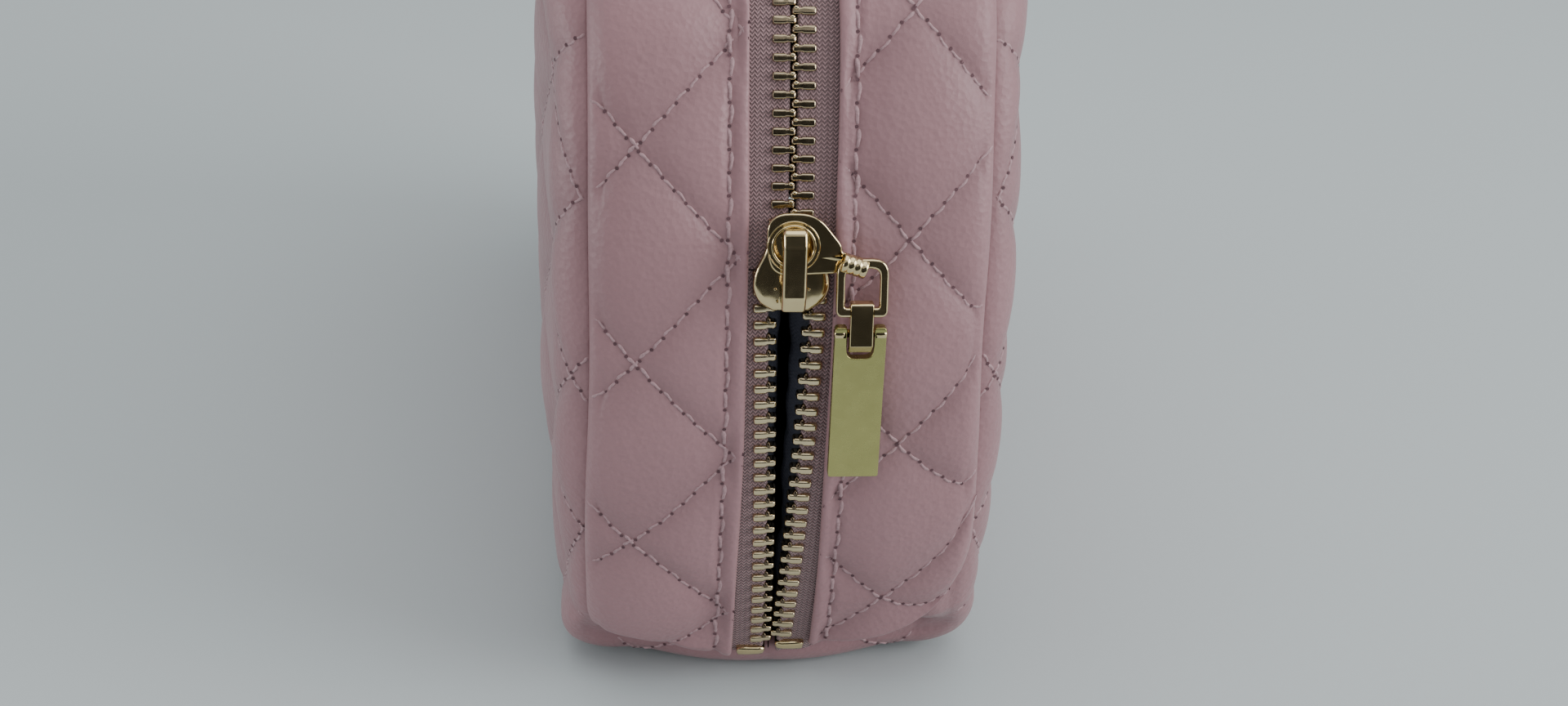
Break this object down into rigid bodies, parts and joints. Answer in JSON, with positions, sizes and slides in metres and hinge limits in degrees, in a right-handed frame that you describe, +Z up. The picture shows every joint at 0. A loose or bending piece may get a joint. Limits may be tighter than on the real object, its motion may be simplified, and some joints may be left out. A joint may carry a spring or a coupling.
{
  "type": "quilted zip-round makeup bag",
  "caption": "Padded, quilted box-shaped makeup bag with a metal zip that runs round both ends and over the top, and a hanging metal pull.",
  "frame": {"origin": "middle of the flat base, where it rests on the table", "axes": "+X out of the end that carries the slider, -Y out of the front panel, +Z up"},
  "size_m": [0.2331, 0.082, 0.1531],
  "materials": {
    "quilted_leather": "dusty pink soft imitation leather, fine grain, low sheen",
    "foam_padding": "open-cell padding foam",
    "stiff_board": "stiffener board",
    "lining_fabric": "dark navy woven lining",
    "binding_fabric": "dark seam binding tape",
    "zip_tape": "mauve woven zip tape",
    "gold_metal": "polished light gold plating",
    "satin_gold": "satin light gold plating"
  },
  "bodies": {
    "base": {"bottom_skin": "quilted_leather", "bottom_foam": "foam_padding", "bottom_board": "stiff_board", "bottom_lining": "lining_fabric"},
    "front_half": {"front_skin": "quilted_leather", "front_foam": "foam_padding", "front_lining": "lining_fabric", "front_gusset_skin": "quilted_leather", "front_gusset_foam": "foam_padding", "front_gusset_lining": "lining_fabric", "front_seam_binding": "binding_fabric", "front_zip_tape": "zip_tape", "front_zip_teeth": "gold_metal", "front_far_stop": "gold_metal"},
    "front_row": {"front_open_tape": "zip_tape", "front_open_teeth": "gold_metal", "front_bottom_stop": "gold_metal"},
    "back_half": {"back_skin": "quilted_leather", "back_foam": "foam_padding", "back_lining": "lining_fabric", "back_gusset_skin": "quilted_leather", "back_gusset_foam": "foam_padding", "back_gusset_lining": "lining_fabric", "back_seam_binding": "binding_fabric", "back_zip_tape": "zip_tape", "back_zip_teeth": "gold_metal", "back_far_stop": "gold_metal"},
    "back_row": {"back_open_tape": "zip_tape", "back_open_teeth": "gold_metal", "back_bottom_stop": "gold_metal"},
    "slider": {"slider_body": "gold_metal", "slider_bridge": "gold_metal"},
    "connector": {"pull_connector": "gold_metal"},
    "loop": {"pull_loop": "gold_metal"},
    "link": {"pull_link": "gold_metal"},
    "tag": {"pull_tag": "satin_gold", "pull_tag_pin": "gold_metal"}
  },
  "joints": [
    {"name": "front_half_open", "type": "hinge", "parent": "base", "child": "front_half", "pos_m": [0, -0.041, 0.01], "axis": [1, 0, 0], "range_deg": [0, 30]},
    {"name": "back_half_open", "type": "hinge", "parent": "base", "child": "back_half", "pos_m": [0, 0.041, 0.01], "axis": [-1, 0, 0], "range_deg": [0, 30]},
    {"name": "slider_run", "type": "hinge", "parent": "back_half", "child": "slider", "pos_m": [-0.049, 0, 0.068], "axis": [0, -1, 0], "range_deg": [-26.5, 0]},
    {"name": "front_row_close", "type": "hinge", "parent": "front_half", "child": "front_row", "pos_m": [0.1, -0.0045, 0.002], "axis": [1, 0, 0], "range_deg": [-1.83, 0], "deforming": ["front_open_tape", "front_open_teeth"]},
    {"name": "back_row_close", "type": "hinge", "parent": "back_half", "child": "back_row", "pos_m": [0.1, 0.0045, 0.002], "axis": [-1, 0, 0], "range_deg": [-1.83, 0], "deforming": ["back_open_tape", "back_open_teeth"]},
    {"name": "connector_swivel", "type": "hinge", "parent": "slider", "child": "connector", "pos_m": [0.11281, 0, 0.09508], "axis": [0.9903, 0, 0.1392], "range_deg": [-20, 40]},
    {"name": "loop_lift", "type": "hinge", "parent": "connector", "child": "loop", "pos_m": [0.11517, 0.011, 0.09188], "axis": [0, 1, 0], "range_deg": [-110, 0]},
    {"name": "link_lift", "type": "hinge", "parent": "loop", "child": "link", "pos_m": [0.1168, 0.011, 0.08405], "axis": [0, -1, 0], "range_deg": [0, 110]},
    {"name": "tag_lift", "type": "hinge", "parent": "link", "child": "tag", "pos_m": [0.1168, 0.011, 0.08025], "axis": [0, 1, 0], "range_deg": [-60, 0]}
  ],
  "couplings": [
    {"joint": "front_row_close", "follows": "slider_run", "ratio": 0.068679},
    {"joint": "back_row_close", "follows": "slider_run", "ratio": 0.068679}
  ]
}
